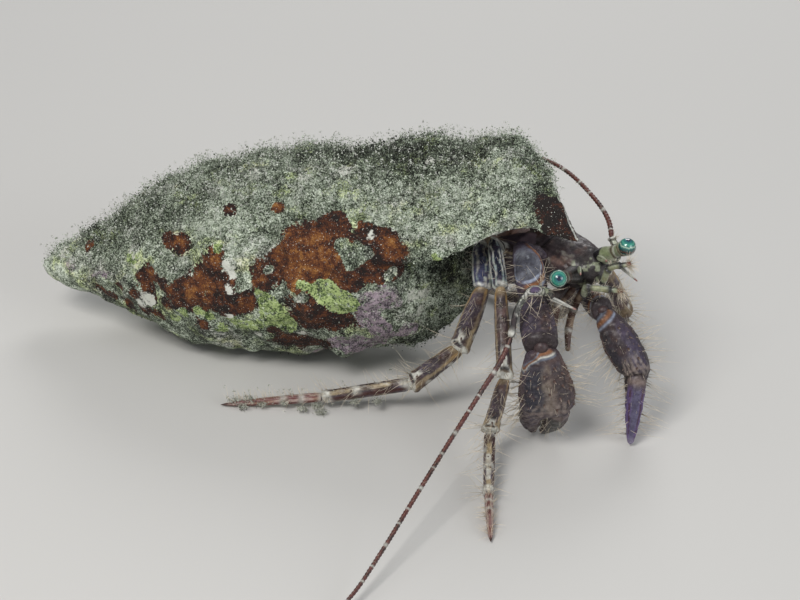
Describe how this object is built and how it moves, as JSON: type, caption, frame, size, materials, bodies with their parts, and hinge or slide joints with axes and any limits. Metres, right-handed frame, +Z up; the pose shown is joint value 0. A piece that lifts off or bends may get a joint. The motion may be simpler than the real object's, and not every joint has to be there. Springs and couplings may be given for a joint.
{
  "type": "hermit crab model",
  "caption": "Life-size still model of a striped hermit crab standing in a worn, crusted turret shell, claws down, legs spread on the floor, eyes and feelers out.",
  "frame": {"origin": "middle of the small flat that the shell rests on, at floor level", "axes": "+Z up; +X from the shell's tip towards the animal's head; -Y the side of the shell's mouth, where the long right feeler reaches out"},
  "size_m": [0.054, 0.0631, 0.0227],
  "materials": {
    "crusted_shell": "rough, crusted",
    "striped_body": "satin horn",
    "soft_body": "soft, damp",
    "leg_horn": "satin horn",
    "claw_horn": "grainy horn",
    "stalk_horn": "satin horn",
    "eye_gloss": "glossy",
    "feeler_horn": "satin horn"
  },
  "bodies": {
    "root": {"abdomen": "soft_body", "antenna_root_left": "feeler_horn", "antenna_root_right": "feeler_horn", "antenna_whip_left": "feeler_horn", "antenna_whip_right": "feeler_horn", "antennule_left": "feeler_horn", "antennule_right": "feeler_horn", "carapace": "striped_body", "cheliped_left_carpus": "claw_horn", "cheliped_left_finger": "claw_horn", "cheliped_left_merus": "claw_horn", "cheliped_left_palm": "claw_horn", "cheliped_right_carpus": "claw_horn", "cheliped_right_finger": "claw_horn", "cheliped_right_ischium": "claw_horn", "cheliped_right_merus": "claw_horn", "cheliped_right_palm": "claw_horn", "eye_left": "eye_gloss", "eye_right": "eye_gloss", "eyestalk_left": "stalk_horn", "eyestalk_right": "stalk_horn", "leg2_left_carpus": "leg_horn", "leg2_left_coxa": "leg_horn", "leg2_left_dactyl": "leg_horn", "leg2_left_ischium": "leg_horn", "leg2_left_merus": "leg_horn", "leg2_left_propodus": "leg_horn", "leg2_right_carpus": "leg_horn", "leg2_right_coxa": "leg_horn", "leg2_right_dactyl": "leg_horn", "leg2_right_ischium": "leg_horn", "leg2_right_merus": "leg_horn", "leg2_right_propodus": "leg_horn", "leg3_left_carpus": "leg_horn", "leg3_left_coxa": "leg_horn", "leg3_left_dactyl": "leg_horn", "leg3_left_ischium": "leg_horn", "leg3_left_merus": "leg_horn", "leg3_left_propodus": "leg_horn", "leg3_right_carpus": "leg_horn", "leg3_right_coxa": "leg_horn", "leg3_right_dactyl": "leg_horn", "leg3_right_ischium": "leg_horn", "leg3_right_merus": "leg_horn", "leg3_right_propodus": "leg_horn", "maxilliped_left": "leg_horn", "maxilliped_right": "leg_horn", "shell": "crusted_shell"}
  },
  "joints": []
}
